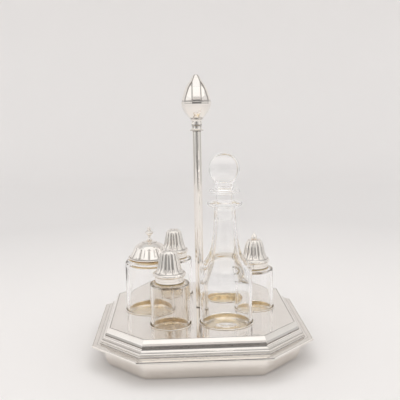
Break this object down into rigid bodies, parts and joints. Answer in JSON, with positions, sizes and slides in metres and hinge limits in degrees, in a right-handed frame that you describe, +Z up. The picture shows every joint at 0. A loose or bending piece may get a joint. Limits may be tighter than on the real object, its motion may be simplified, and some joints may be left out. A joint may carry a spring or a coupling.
{
  "type": "cruet set",
  "caption": "Silver-plated eight-sided cruet stand with a central upright, screw-capped glass shakers, a lidded mustard jar and a stoppered oil bottle in lift-out wells.",
  "frame": {"origin": "centre of the stand's footprint at the height of the table, under the upright", "axes": "+Z up along the upright; -Y to the front, where the oil bottle and the front shaker stand; +X to the side shaker"},
  "size_m": [0.2238, 0.2238, 0.2921],
  "materials": {
    "silver_plate": "polished silver plate",
    "gilt_lining": "pale gilt, polished",
    "clear_glass": "clear, polished",
    "turned_brass": "turned, unpolished",
    "cork": "plain cork"
  },
  "bodies": {
    "stand": {"base_skirt": "silver_plate", "base_moulding": "silver_plate", "deck_plate": "silver_plate", "bottom_plate": "silver_plate", "well_cup_side": "gilt_lining", "well_cup_rear": "gilt_lining", "well_cup_front": "gilt_lining", "well_cup_spare": "gilt_lining", "well_cup_mustard": "gilt_lining", "well_cup_bottle": "gilt_lining", "upright_tube": "silver_plate", "tie_rod": "turned_brass", "tie_rod_washer": "turned_brass", "tie_rod_nut": "turned_brass", "finial_collar": "silver_plate", "finial_cup": "silver_plate", "finial_bud": "silver_plate"},
    "front_shaker": {"front_shaker_glass": "clear_glass", "front_shaker_ferrule": "turned_brass"},
    "front_washer": {"front_shaker_washer": "cork"},
    "front_cap": {"front_shaker_cap": "silver_plate", "front_shaker_cap_ring": "silver_plate"},
    "rear_shaker": {"rear_shaker_glass": "clear_glass", "rear_shaker_ferrule": "turned_brass"},
    "rear_washer": {"rear_shaker_washer": "cork"},
    "rear_cap": {"rear_shaker_cap": "silver_plate", "rear_shaker_cap_ring": "silver_plate"},
    "side_shaker": {"side_shaker_glass": "clear_glass", "side_shaker_ferrule": "turned_brass"},
    "side_washer": {"side_shaker_washer": "cork"},
    "side_cap": {"side_shaker_cap": "silver_plate", "side_shaker_cap_ring": "silver_plate", "side_shaker_knob": "silver_plate"},
    "mustard_jar": {"mustard_jar": "clear_glass", "mustard_jar_collar": "gilt_lining"},
    "mustard_lid": {"mustard_lid": "silver_plate", "mustard_lid_knob": "silver_plate"},
    "oil_bottle": {"oil_bottle": "clear_glass"},
    "oil_stopper": {"oil_stopper": "clear_glass"}
  },
  "joints": [
    {"name": "front_shaker_lift", "type": "slide", "parent": "stand", "child": "front_shaker", "axis": [0, 0, 1], "range_m": [0, 0.1]},
    {"name": "front_cap_rise", "type": "slide", "parent": "front_shaker", "child": "front_washer", "axis": [0, 0, 1], "range_m": [0, 0.014]},
    {"name": "front_cap_turn", "type": "hinge", "parent": "front_washer", "child": "front_cap", "pos_m": [-0.03233, -0.05055, 0.09], "axis": [0, 0, 1], "range_deg": [0, 1800]},
    {"name": "rear_shaker_lift", "type": "slide", "parent": "stand", "child": "rear_shaker", "axis": [0, 0, 1], "range_m": [0, 0.1]},
    {"name": "rear_cap_rise", "type": "slide", "parent": "rear_shaker", "child": "rear_washer", "axis": [0, 0, 1], "range_m": [0, 0.014]},
    {"name": "rear_cap_turn", "type": "hinge", "parent": "rear_washer", "child": "rear_cap", "pos_m": [-0.02761, 0.05327, 0.09], "axis": [0, 0, 1], "range_deg": [0, 1800]},
    {"name": "side_shaker_lift", "type": "slide", "parent": "stand", "child": "side_shaker", "axis": [0, 0, 1], "range_m": [0, 0.1]},
    {"name": "side_cap_rise", "type": "slide", "parent": "side_shaker", "child": "side_washer", "axis": [0, 0, 1], "range_m": [0, 0.014]},
    {"name": "side_cap_turn", "type": "hinge", "parent": "side_washer", "child": "side_cap", "pos_m": [0.05994, -0.00272, 0.09], "axis": [0, 0, 1], "range_deg": [0, 1800]},
    {"name": "mustard_jar_lift", "type": "slide", "parent": "stand", "child": "mustard_jar", "axis": [0, 0, 1], "range_m": [0, 0.1]},
    {"name": "mustard_lid_lift", "type": "slide", "parent": "mustard_jar", "child": "mustard_lid", "axis": [0, 0, 1], "range_m": [0, 0.03]},
    {"name": "oil_bottle_lift", "type": "slide", "parent": "stand", "child": "oil_bottle", "axis": [0, 0, 1], "range_m": [0, 0.1]},
    {"name": "oil_stopper_pull", "type": "slide", "parent": "oil_bottle", "child": "oil_stopper", "axis": [0, 0, 1], "range_m": [0, 0.035]}
  ],
  "couplings": [
    {"joint": "front_cap_rise", "follows": "front_cap_turn", "m_per_rad": 0.00044562},
    {"joint": "rear_cap_rise", "follows": "rear_cap_turn", "m_per_rad": 0.00044562},
    {"joint": "side_cap_rise", "follows": "side_cap_turn", "m_per_rad": 0.00044562}
  ]
}
